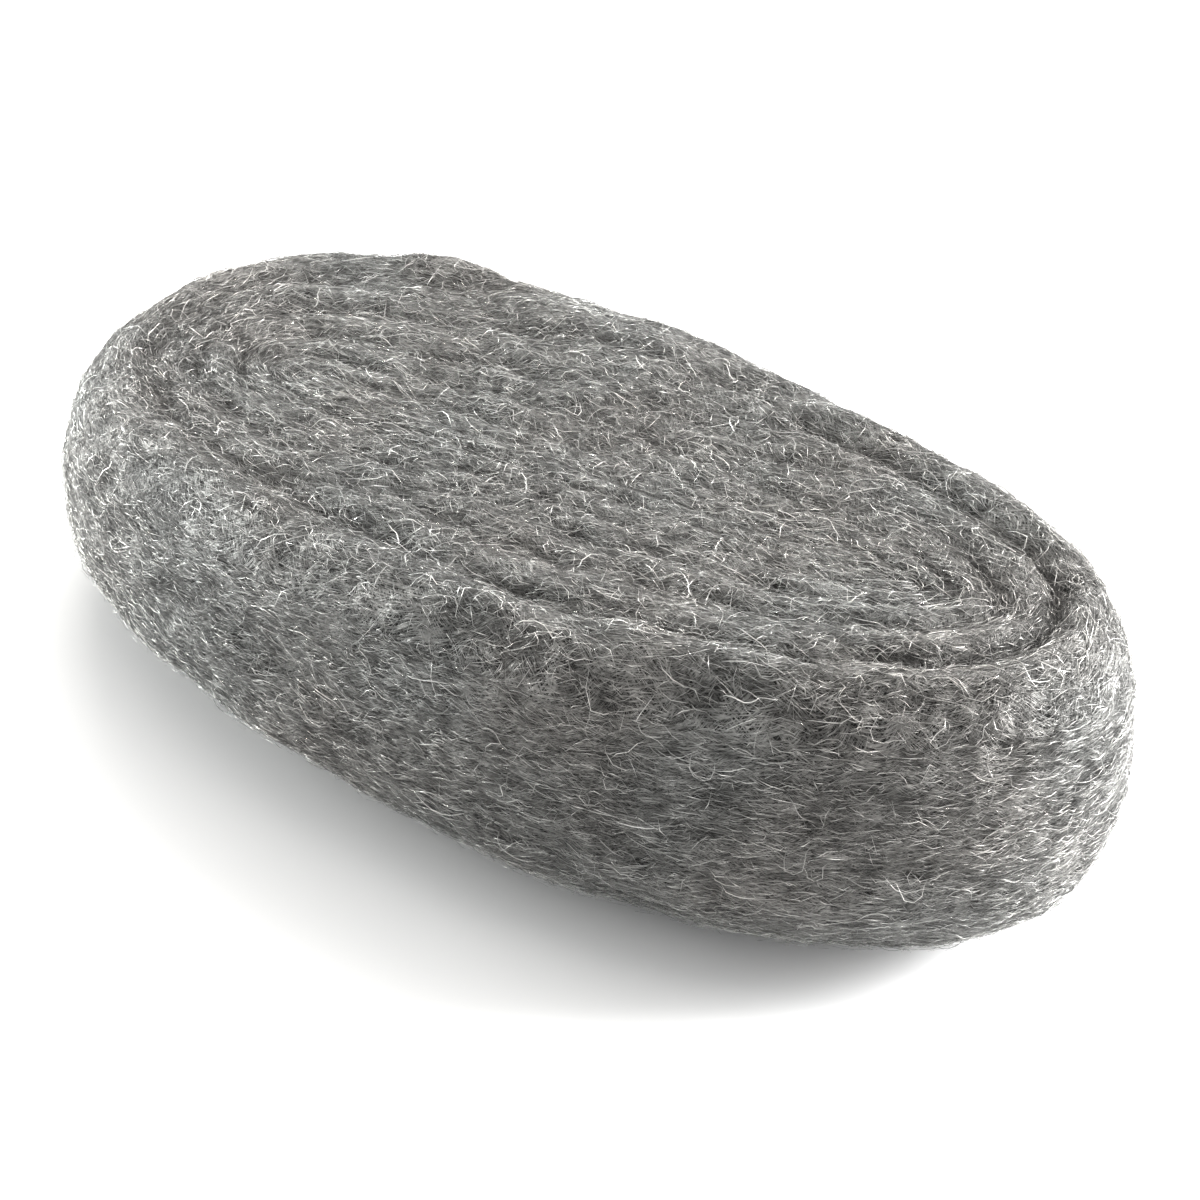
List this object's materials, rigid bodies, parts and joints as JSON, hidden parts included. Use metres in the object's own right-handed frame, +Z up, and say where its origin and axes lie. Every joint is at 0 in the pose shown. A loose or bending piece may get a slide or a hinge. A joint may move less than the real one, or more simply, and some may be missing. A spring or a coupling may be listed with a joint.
{
  "type": "steel wool roll",
  "caption": "Oval roll of loose steel fibre, wound flat from one strip, for rubbing down, cleaning and polishing.",
  "frame": {"origin": "under the middle of the roll's length and width, on the surface that it lies on", "axes": "+X along the roll towards its taller end, +Y towards the long side where the strip ends, +Z up"},
  "size_m": [0.2002, 0.104, 0.0621],
  "materials": {
    "steel_wool": "matted bare steel fibres with fine glints"
  },
  "bodies": {
    "root": {"wool_roll": "steel_wool"}
  },
  "joints": []
}
